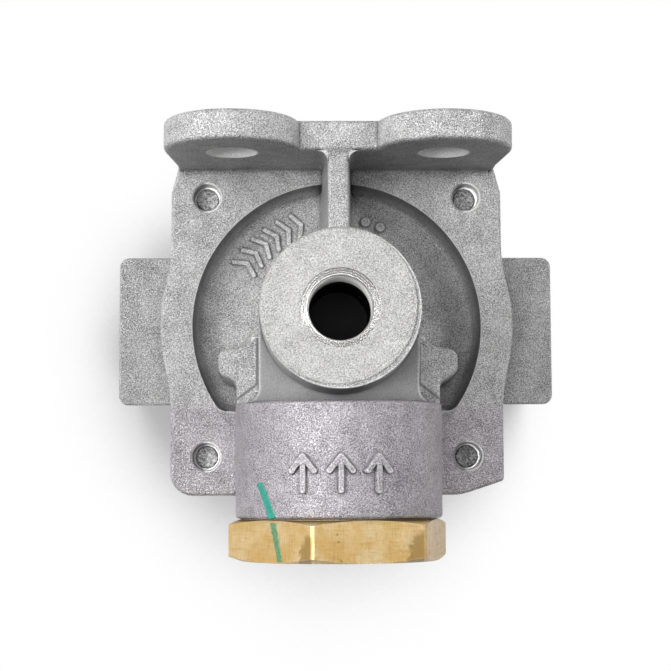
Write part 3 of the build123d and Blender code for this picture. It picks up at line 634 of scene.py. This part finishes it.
def buildBrass():
    look = brassLook
    material, tree, shader = newMaterial("machinedBrass", look["roughness"], look["metallic"])
    place = objectPlace(tree)
    x, y, z = splitPlace(tree)
    grains = []
    for spec in toolMarks:
        drawn = makeNode(tree, "ShaderNodeMapping")
        drawn.inputs["Scale"].default_value = spec["stretch"]
        plug(tree, place, drawn.inputs["Vector"])
        grains.append(noise(tree, drawn.outputs[0], spec["scale"], roughness=0.6))
    blotch = noise(tree, place, look["blotchScale"], detail=4.0, roughness=0.6)
    ragged = noise(tree, place, look["raggedScale"], detail=3.0, roughness=0.6)
    skin = placeGroup(tree, blastedSkin, **look["skin"])
    wear = placeGroup(tree, edgeWear, **look["wear"]).outputs["Mask"]
    dirt = placeGroup(tree, creaseDirtAndShade, **look["dirt"]).outputs["Mask"]
    # the bruises and spots are on the flats that face up
    upper = rising(tree, z, look["upperHalf"])
    hurt = product(tree, bruiseMask(tree, x, y, ragged), upper)
    dotted = product(tree, spotMask(tree, x, y), upper)

    lined = [ramp(tree, grain, *spec["seen"], 0.0, spec["cover"]) for grain, spec in zip(grains, toolMarks)]
    layers = (
        # the flat that faces +X is painted paler and greyer as painted sheen
        (product(tree, rising(tree, x, look["sheenSideStart"]), look["sheenSideCover"]), look["side"]),
        (total(tree, *lined), look["line"]),
        (product(tree, hurt, look["bruiseCover"]), look["bruise"]),
        (product(tree, dotted, look["spotCover"]), look["stain"]),
        (product(tree, dirt, look["dirtCover"]), look["stain"]),
        (product(tree, wear, look["wearCover"]), look["edge"]),
    )
    colour = mixColour(tree, rising(tree, blotch, look["blotchSpread"]), look["gold"], look["pale"])
    for mask, layer in layers:
        colour = mixColour(tree, mask, colour, layer)
    plug(tree, colour, shader.inputs["Base Color"])

    heights = [product(tree, grain, spec["height"]) for grain, spec in zip(grains, toolMarks)]
    height = total(tree, *heights, product(tree, skin.outputs["Height"], look["gritHeight"]))
    marked = product(tree, calc(tree, "MAXIMUM", hurt, dotted), look["markDepth"])
    bumpTo(tree, shader, calc(tree, "SUBTRACT", height, marked), look["strength"], look["relief"])
    roughness = ramp(tree, grains[0], *look["shineSpread"], look["smoothest"], look["roughest"])
    plug(tree, roughness, shader.inputs["Roughness"])
    return material


# Steel, rubber, acetal and paint

plainLooks = {
    "zincSteel": {"light": (0.56, 0.56, 0.56, 1), "dark": (0.06, 0.06, 0.062, 1), "metallic": 0.6,
                  "roughness": 0.5, "fine": 1900.0, "relief": 0.00014, "grimeAndShade": 1.3},
    "springSteel": {"light": (0.42, 0.42, 0.43, 1), "dark": (0.26, 0.26, 0.27, 1), "metallic": 0.9,
                    "roughness": 0.34, "fine": 2400.0, "relief": 0.00003, "grimeAndShade": 0.8},
    "mouldedRubber": {"light": (0.045, 0.045, 0.047, 1), "dark": (0.022, 0.022, 0.023, 1), "metallic": 0.0,
                      "roughness": 0.62, "fine": 1300.0, "relief": 0.00003, "grimeAndShade": 0.4},
    "turnedAcetal": {"light": (0.78, 0.77, 0.72, 1), "dark": (0.68, 0.67, 0.61, 1), "metallic": 0.0,
                     "roughness": 0.4, "fine": 900.0, "relief": 0.00002, "grimeAndShade": 0.4},
    "tealPaint": {"light": (0.055, 0.39, 0.30, 1), "dark": (0.025, 0.26, 0.20, 1), "metallic": 0.0,
                  "roughness": 0.4, "fine": 1700.0, "relief": 0.00005, "grimeAndShade": 0.2},
    "thinPaint": {"light": (0.20, 0.38, 0.20, 1), "dark": (0.10, 0.25, 0.12, 1), "metallic": 0.1,
                  "roughness": 0.4, "fine": 1700.0, "relief": 0.00004, "grimeAndShade": 0.2},
}
plainShared = {"finePerCoarse": 7, "dirtReach": 0.0012, "soil": (0.25, 0.25, 0.25, 1), "strength": 0.7}


def buildPlain(name):
    look, shared = plainLooks[name], plainShared
    material, tree, shader = newMaterial(name, look["roughness"], look["metallic"])
    coarse = look["fine"] / shared["finePerCoarse"]
    skin = placeGroup(tree, blastedSkin, Fine=look["fine"], Coarse=coarse)
    dirt = placeGroup(tree, creaseDirtAndShade, Reach=shared["dirtReach"], Bite=look["grimeAndShade"])
    clean = mixColour(tree, skin.outputs["Tone"], look["dark"], look["light"])
    soiled = mixColour(tree, 1.0, clean, shared["soil"], "MULTIPLY")
    plug(tree, mixColour(tree, dirt.outputs["Mask"], clean, soiled), shader.inputs["Base Color"])
    bumpTo(tree, shader, skin.outputs["Height"], shared["strength"], look["relief"])
    return material


castAluminium = buildCastAluminium("castAluminium", True)
castCorner = buildCastAluminium("castCorner", False)
machinedBrass = buildBrass()
plain = {name: buildPlain(name) for name in plainLooks}

nodeFinish = {
    "body": castAluminium,
    "rear_cover": castAluminium,
    "cap_nut": machinedBrass,
    "check_guide": machinedBrass,
    "check_shuttle": plain["turnedAcetal"],
    "shuttle_seals": plain["mouldedRubber"],
    "nut_seal": plain["mouldedRubber"],
    "cover_seal": plain["mouldedRubber"],
    "diaphragm": plain["mouldedRubber"],
    "spring_seat": plain["zincSteel"],
    "diaphragm_spring": plain["springSteel"],
    "cover_screws": plain["zincSteel"],
    "lock_washers": plain["springSteel"],
    "exhaust_flap": plain["mouldedRubber"],
    "flap_washer": plain["zincSteel"],
    "flap_screw": plain["zincSteel"],
}
for name, finish in nodeFinish.items():
    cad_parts[name].data.materials.clear()
    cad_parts[name].data.materials.append(finish)
print("finishes ready")


# Pipe threads in the four ports

threads = {
    "balanceThread": {"wall": 6.7, "crest": 0.36, "length": 11.2, "turn": "up", "mouth": (0, 0, 86.9),
                      "finish": castAluminium},
    "supplyThread": {"wall": 8.45, "crest": 0.85, "length": 11.0, "turn": "front", "mouth": (0, -49.6, 64),
                     "finish": machinedBrass},
    "leftThread": {"wall": 8.45, "crest": 0.85, "length": 11.0, "turn": "left", "mouth": (-48.1, 0, 22),
                   "finish": castAluminium},
    "rightThread": {"wall": 8.45, "crest": 0.85, "length": 11.0, "turn": "right", "mouth": (48.1, 0, 22),
                    "finish": castAluminium},
}
# foot and flank are shares of half a pitch: the ridge ends at the foot and climbs over the flank
threadForm = {"pitch": 1.411, "around": 96, "perTurn": 10, "root": 0.02, "behind": 0.01,
              "foot": 0.85, "flank": 0.7, "fadeTurns": 0.8}
outward = {"up": (0, 0, 1), "front": (0, -1, 0), "left": (-1, 0, 0), "right": (1, 0, 0)}


def buildThread(name):
    # The radius is the wall less a rounded V ridge that climbs one pitch per turn and fades at both
    # ends. The rows run down the ridged inside and back up close behind it.
    spec, form = threads[name], threadForm
    pitch = form["pitch"]
    rows = int(spec["length"] / pitch * form["perTurn"])
    depth = np.linspace(0, spec["length"], rows)[:, None]
    angle = np.linspace(0, 2 * np.pi, form["around"], endpoint=False)[None, :]
    phase = (depth / pitch + angle / (2 * np.pi)) % 1.0
    ridge = np.clip((form["foot"] - np.abs(2 * phase - 1)) / form["flank"], 0, 1)
    fade = np.clip(np.minimum(depth, spec["length"] - depth) / (form["fadeTurns"] * pitch), 0, 1)
    inner = spec["wall"] - form["root"] - (spec["crest"] - form["root"]) * ridge * fade
    behind = np.full((2, form["around"]), spec["wall"] - form["behind"])
    radius = np.concatenate([inner, behind])
    depth = np.concatenate([depth + 0 * angle, np.broadcast_to([[spec["length"]], [0.0]], behind.shape)])
    axis = np.array(outward[spec["turn"]], float)
    side = np.array([0, 1, 0]) if abs(axis[1]) < 0.5 else np.array([1, 0, 0])
    other = np.cross(axis, side)
    points = (np.array(spec["mouth"], float) - depth[..., None] * axis
              + radius[..., None] * (np.cos(angle)[..., None] * side + np.sin(angle)[..., None] * other))
    return gridMesh(name, points, spec["finish"], wrapRows=True, wrapColumns=True)


for name in threads:
    buildThread(name)
print("threads cut")


# Raised casting marks: flow arrows on the tower, chevrons and pips on the recess floor

towerForm = {"radius": 21.6, "axisHeight": 64.0}
arrowForm = {
    "stations": (-37.4, -27.6), "halfSpan": 12.4, "step": 0.11,
    "middles": (-7.6, 0.0, 7.6), "tail": -36.0, "tip": -29.2, "barb": (2.3, 2.875), "width": 1.05,
    "soft": 0.26, "rise": 0.7, "sink": 0.10, "base": 2.0,
}
chevronForm = {
    "radii": (20.4, 29.0), "angles": (102.0, 152.0), "step": 0.12, "floor": 43.2,
    "middles": (110.0, 117.0, 124.0, 131.0, 138.0, 145.0), "inner": 22.0, "outer": 27.4, "lean": 1.6,
    "width": 0.85, "soft": 0.26, "rise": 0.7, "sink": 0.08, "base": 2.0,
}
pipForm = {
    "radii": (21.5, 28.4), "angles": (60.0, 80.0), "step": 0.12, "floor": 43.2,
    "places": ((66.5, 24.99), (74.5, 24.99)), "dot": 0.02,
    "width": 1.9, "soft": 0.35, "rise": 0.7, "sink": 0.08, "base": 2.0,
}


def onBarrel(turn, station, radius):
    # turn is the angle from straight up towards +X
    x = radius * np.sin(turn)
    z = towerForm["axisHeight"] + radius * np.cos(turn)
    return np.stack(np.broadcast_arrays(x, station, z), axis=-1)


def buildArrows():
    # a patch that follows the barrel just below its skin and rises through it along the strokes
    spec = arrowForm
    arc = np.arange(-spec["halfSpan"], spec["halfSpan"], spec["step"])[None, :]
    station = np.arange(spec["stations"][0], spec["stations"][1], spec["step"])[:, None]
    strokes = []
    aside, back = spec["barb"]
    for middle in spec["middles"]:
        tip = (middle, spec["tip"])
        strokes.append(((middle, spec["tail"]), tip))
        for side in (-1, 1):
            strokes.append(((middle + side * aside, spec["tip"] - back), tip))
    level = strokeMask(arc, station, strokes, spec["width"], spec["soft"])
    turn = arc / towerForm["radius"]
    top = onBarrel(turn, station, towerForm["radius"] - spec["sink"] + (spec["rise"] + spec["sink"]) * level)
    base = onBarrel(turn, station, towerForm["radius"] - spec["base"] + 0 * level)
    return closedSkin("flowArrows", top, base, castAluminium)


def polarPatch(name, spec, strokes):
    # a patch of the recess floor in polar coordinates round the boss, raised along the strokes
    radius = np.arange(spec["radii"][0], spec["radii"][1], spec["step"])[:, None]
    low, high = np.radians(spec["angles"])
    angle = np.linspace(low, high, int((high - low) * spec["radii"][1] / spec["step"]))[None, :]
    x = radius * np.cos(angle)
    y = radius * np.sin(angle)
    level = strokeMask(x, y, strokes, spec["width"], spec["soft"])
    top = spec["floor"] - spec["sink"] + (spec["rise"] + spec["sink"]) * level
    base = spec["floor"] - spec["base"] + 0 * level
    return closedSkin(name, np.stack([x, y, top], axis=-1), np.stack([x, y, base], axis=-1), castAluminium)


def polarPoint(degrees, radius):
    return radius * np.cos(np.radians(degrees)), radius * np.sin(np.radians(degrees))


def buildChevrons():
    spec = chevronForm
    middle = (spec["inner"] + spec["outer"]) / 2
    strokes = []
    for degrees in spec["middles"]:
        nose = polarPoint(degrees - spec["lean"], middle)
        strokes.append((polarPoint(degrees + spec["lean"], spec["inner"]), nose))
        strokes.append((polarPoint(degrees + spec["lean"], spec["outer"]), nose))
    return polarPatch("floorChevrons", spec, strokes)


def buildPips():
    # a pip is a stroke that is hardly longer than a point
    spec = pipForm
    strokes = []
    for degrees, radius in spec["places"]:
        strokes.append((polarPoint(degrees, radius), polarPoint(degrees, radius + spec["dot"])))
    return polarPatch("floorPips", spec, strokes)


buildArrows()
buildChevrons()
buildPips()
print("casting marks raised")


# Rounded corner where the centre rib meets the bracket

ribCorner = {
    "top": 72.3, "face": 34.6, "side": 2.2, "sweep": 2.3, "lead": 2.2, "depth": 3.0, "draft": 2.5,
    "edge": (0.7, 1.0), "flat": (1.4, 2.7), "dip": 0.04, "inset": 0.3,
    "proud": 0.03, "swell": 0.3, "tuck": 0.01, "pathSteps": 60, "profileSteps": 8,
}


def buildRibCorner(name, hand):
    # The path runs up the rib's side, round the hollow corner and out along the bracket's face. At
    # each step the profile climbs the side, turns over a round edge and lies flat on the top. It
    # stands a little proud of the casting, and its ends and its inner border tuck into it. The edge
    # grows from rib to face, and the flat is widest at the corner.
    spec = ribCorner
    lead, sweep = spec["lead"], spec["sweep"]
    length = 2 * lead + sweep * np.pi / 2
    step = np.linspace(0, length, spec["pathSteps"])[:, None]
    turn = np.clip((step - lead) / sweep, 0, np.pi / 2)
    before = np.minimum(step - lead, 0)
    after = np.maximum(step - lead - sweep * np.pi / 2, 0)
    x = spec["side"] + sweep * (1 - np.cos(turn)) + after
    y = spec["face"] - sweep + sweep * np.sin(turn) + before
    share = turn / (np.pi / 2)
    edge = between(spec["edge"], share)
    flat = between(spec["flat"], np.sin(np.pi * share))
    proud = spec["proud"] * np.sin(np.pi * step / length) ** spec["swell"] - spec["tuck"]
    climb = np.linspace(0, 1, spec["profileSteps"])[None, :-1]
    over = np.linspace(0, np.pi / 2, spec["profileSteps"] + 1)[None, :-1]
    level = np.linspace(0, 1, spec["profileSteps"])[None, :]
    inwards = np.hstack([0 * climb * edge, edge * (1 - np.cos(over)), edge + (flat - edge) * level])
    down = np.hstack([spec["depth"] + (edge - spec["depth"]) * climb, edge * (1 - np.sin(over)),
                      spec["dip"] * level ** 4 + 0 * edge])
    lean = np.tan(np.radians(spec["draft"])) * down * (1 - share)

    def laid(extra, sunk):
        shift = inwards - lean - proud + extra
        return np.stack([hand * (x - shift * np.cos(turn)), y + shift * np.sin(turn),
                         spec["top"] - down + proud - sunk], axis=-1)

    inset = spec["inset"]
    return closedSkin(name, laid(0, 0), laid(inset, inset), castCorner)


buildRibCorner("ribCornerRight", 1)
buildRibCorner("ribCornerLeft", -1)
print("rib corners rounded")


# Paint stroke over the joint of tower and nut

# a place on the tower is an angle and a station, and one on the nut's flat a slide and a station
stroke = {
    "towerFrom": (-49.6, -34.3), "towerTo": (-39.2, -41.55), "towerWidth": (1.8, 2.0),
    "towerWaves": ((23, 0.06), (57, 0.04)), "towerSteps": (80, 13),
    "bow": 0.8, "roundStart": 0.05, "leastWidth": 0.02, "slant": 0.25,
    "nutFlat": 20.65, "nutAngle": 134.0,
    "nutFrom": (-1.12, -42.4), "nutTo": (-3.1, -50.1), "nutWidth": (1.85, 1.6),
    "nutWaves": ((31, 0.07),), "nutSteps": (60, 11),
    "coat": 0.06, "above": 0.012, "below": 0.03,
}


def brush(widths, waves, steps):
    # along runs down the stroke and across runs between its wavy sides, where the coat ends
    along = np.linspace(0, 1, steps[0])[:, None]
    across = np.linspace(-1, 1, steps[1])[None, :]
    width = between(widths, along) * (1 + sum(swing * np.sin(rate * along) for rate, swing in waves))
    coat = stroke["coat"] * (1 - across ** 4) * np.ones_like(along)
    return along, across, width, coat


def buildTowerStroke():
    # the stroke bends round the barrel and has a rounded start
    spec, radius = stroke, towerForm["radius"]
    along, across, width, coat = brush(spec["towerWidth"], spec["towerWaves"], spec["towerSteps"])
    width = width * np.clip(along / spec["roundStart"], 0, 1) ** 0.5 + spec["leastWidth"]
    angles, stations = zip(spec["towerFrom"], spec["towerTo"])
    shift = across * width / 2
    turn = np.radians(between(angles, along ** spec["bow"])) + shift / radius
    station = between(stations, along) + spec["slant"] * shift
    top = onBarrel(turn, station, radius + spec["above"] + coat)
    base = onBarrel(turn, station, radius - spec["below"] + 0 * coat)
    return closedSkin("towerStroke", top, base, plain["tealPaint"])


def onFlat(slide, station, reach):
    angle = np.radians(stroke["nutAngle"])
    x = reach * np.cos(angle) - slide * np.sin(angle)
    z = towerForm["axisHeight"] + reach * np.sin(angle) + slide * np.cos(angle)
    return np.stack(np.broadcast_arrays(x, station, z), axis=-1)


def buildNutStroke():
    # the same stroke drawn thin across one flat of the hexagon
    spec = stroke
    along, across, width, coat = brush(spec["nutWidth"], spec["nutWaves"], spec["nutSteps"])
    slides, stations = zip(spec["nutFrom"], spec["nutTo"])
    slide = between(slides, along) + across * width / 2
    station = between(stations, along)
    top = onFlat(slide, station, spec["nutFlat"] + spec["above"] + coat)
    base = onFlat(slide, station, spec["nutFlat"] - spec["below"] + 0 * coat)
    return closedSkin("nutStroke", top, base, plain["thinPaint"])


buildTowerStroke()
buildNutStroke()
print("paint stroke drawn")


# Bench, light and camera

bench = {
    "corner": 1500.0,
    "bounce": 0.75,
    "roughness": 0.9,
    "samples": 20,
    "shadows": (
        {"tilt": (0.50, 0.05, 0.865), "reach": 0.12, "gain": 4.5, "clear": 0.36},
        {"tilt": (0.06, 0.45, 0.89), "reach": 0.12, "gain": 4.5, "clear": 0.37},
    ),
    "darkest": 0.45,
}


def buildBench():
    # White card. The camera sees it at a strength of 1, darkened where the valve hides the sky over
    # it. One search looks up to the right and one up to the rear, so the shadow lies to the left of
    # the valve and before it. Other rays meet plain matt card.
    corners = [(-1, -1, 0), (1, -1, 0), (1, 1, 0), (-1, 1, 0)]
    points = np.array(corners) * bench["corner"]
    mesh = bpy.data.meshes.new("bench")
    mesh.from_pydata((points * mm).tolist(), [], [(0, 1, 2, 3)])
    card = bpy.data.objects.new("bench", mesh)
    bpy.context.scene.collection.objects.link(card)
    material, tree, shader = newMaterial("whiteCard", bench["roughness"])
    bounce = bench["bounce"]
    shader.inputs["Base Color"].default_value = (bounce, bounce, bounce, 1)
    dark = 0.0
    for part in bench["shadows"]:
        tilt = makeNode(tree, "ShaderNodeCombineXYZ")
        for socket, value in zip(tilt.inputs, Vector(part["tilt"]).normalized()):
            socket.default_value = value
        sight = makeNode(tree, "ShaderNodeAmbientOcclusion", samples=bench["samples"])
        sight.inputs["Distance"].default_value = part["reach"]
        plug(tree, tilt.outputs[0], sight.inputs["Normal"])
        hidden = calc(tree, "SUBTRACT", 1.0 - part["clear"], sight.outputs["AO"])
        shadow = calc(tree, "MULTIPLY", hidden, part["gain"], clamp=True)
        dark = calc(tree, "MAXIMUM", dark, shadow)
    bright = ramp(tree, dark, 0.0, 1.0, 1.0, bench["darkest"], smooth=False)
    glow = makeNode(tree, "ShaderNodeEmission")
    grey = makeNode(tree, "ShaderNodeCombineColor")
    for socket in grey.inputs:
        plug(tree, bright, socket)
    plug(tree, grey.outputs[0], glow.inputs["Color"])
    mixer = makeNode(tree, "ShaderNodeMixShader")
    plug(tree, makeNode(tree, "ShaderNodeLightPath").outputs["Is Camera Ray"], mixer.inputs[0])
    tree.links.new(shader.outputs[0], mixer.inputs[1])
    tree.links.new(glow.outputs[0], mixer.inputs[2])
    tree.links.new(mixer.outputs[0], tree.nodes["Material Output"].inputs["Surface"])
    mesh.materials.append(material)


lamps = {
    "keyLamp": {"azimuth": 152, "elevation": 44, "size": 0.22, "power": 1.45},
    "leftLamp": {"azimuth": 180, "elevation": 44, "size": 0.22, "power": 1.15},
    "upperLamp": {"azimuth": 180, "elevation": 70, "size": 0.22, "power": 1.1},
    "rightLamp": {"azimuth": 20, "elevation": 33, "size": 0.22, "power": 1.5},
    "topLamp": {"azimuth": 0, "elevation": 88, "size": 0.22, "power": 0.6},
}
lampAim = (0, 0, 0.05)
lampReach = 0.6


def addLamp(name, azimuth, elevation, size, power):
    # a round soft lamp on a sphere round the valve, azimuth counted from +X towards +Y
    light = bpy.data.lights.new(name, "AREA")
    light.shape = "DISK"
    light.size = size
    light.energy = power
    lamp = bpy.data.objects.new(name, light)
    around, up = np.radians((azimuth, elevation))
    ray = Vector((np.cos(up) * np.cos(around), np.cos(up) * np.sin(around), np.sin(up)))
    lamp.location = Vector(lampAim) + lampReach * ray
    lamp.rotation_euler = (-ray).to_track_quat("-Z", "Y").to_euler()
    bpy.context.scene.collection.objects.link(lamp)


sky = {"light": 0.03, "seen": 1.0}


def buildSky():
    # even light all round, plain white to the camera
    world = bpy.data.worlds.new("studioSky")
    bpy.context.scene.world = world
    world.use_nodes = True
    tree = world.node_tree
    seen = makeNode(tree, "ShaderNodeLightPath").outputs["Is Camera Ray"]
    plug(tree, ramp(tree, seen, 0, 1, sky["light"], sky["seen"], smooth=False),
         tree.nodes["Background"].inputs["Strength"])
    tree.nodes["Background"].inputs["Color"].default_value = (1, 1, 1, 1)


view = {
    "place": (-7.654, -36.097, 415.74), "aim": (-0.303, -2.092, 50.0), "roll": -0.0041,
    "lens": 89.8, "sensor": 36, "near": 0.01,
}


def placeCamera():
    data = bpy.data.cameras.new("camera")
    data.sensor_width = view["sensor"]
    data.lens = view["lens"]
    data.clip_start = view["near"]
    camera = bpy.data.objects.new("camera", data)
    back = (Vector(view["place"]) - Vector(view["aim"])).normalized()
    level = Vector((0, 1, 0)).cross(back).normalized()
    right = level * np.cos(view["roll"]) + back.cross(level) * np.sin(view["roll"])
    turn = Matrix((right, back.cross(right), back)).transposed()
    camera.matrix_world = Matrix.Translation(Vector(view["place"]) * mm) @ turn.to_4x4()
    bpy.context.scene.collection.objects.link(camera)
    bpy.context.scene.camera = camera


buildBench()
for name, spec in lamps.items():
    addLamp(name, **spec)
buildSky()
placeCamera()
bpy.context.scene.view_settings.view_transform = "Standard"
print("bench, lamps and camera placed")
